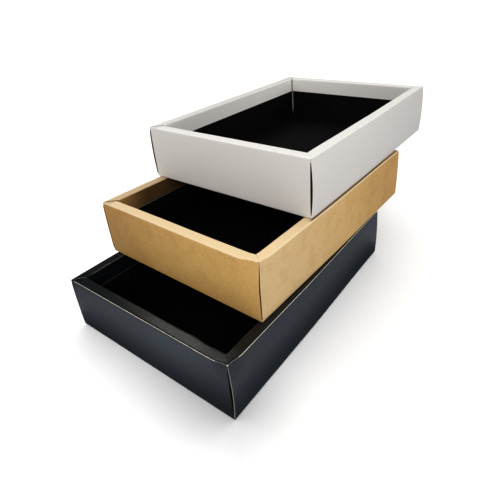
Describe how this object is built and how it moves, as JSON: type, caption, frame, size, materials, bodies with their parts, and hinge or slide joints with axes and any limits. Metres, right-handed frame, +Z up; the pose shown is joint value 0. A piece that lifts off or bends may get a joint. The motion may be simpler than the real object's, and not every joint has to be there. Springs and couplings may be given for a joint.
{
  "type": "stack of sushi boxes",
  "caption": "Open food trays of folded card in black, kraft and white, each with a black liner, stacked and set back like stairs.",
  "frame": {"origin": "middle of the stack's footprint in plan, on the surface it stands on", "axes": "+Z up, +Y along the boxes' long sides in the direction the upper boxes are set back, +X to the right as seen from the lowest box's free front end"},
  "size_m": [0.191, 0.365, 0.153],
  "materials": {
    "black_card": "black laminated card with a satin sheen",
    "kraft_card": "bare brown kraft card, matt",
    "white_card": "white coated card, matt",
    "liner_card": "black coated card, matt"
  },
  "bodies": {
    "root": {"black_tray": "black_card", "black_liner": "liner_card", "kraft_tray": "kraft_card", "kraft_liner": "liner_card", "white_tray": "white_card", "white_liner": "liner_card"}
  },
  "joints": []
}
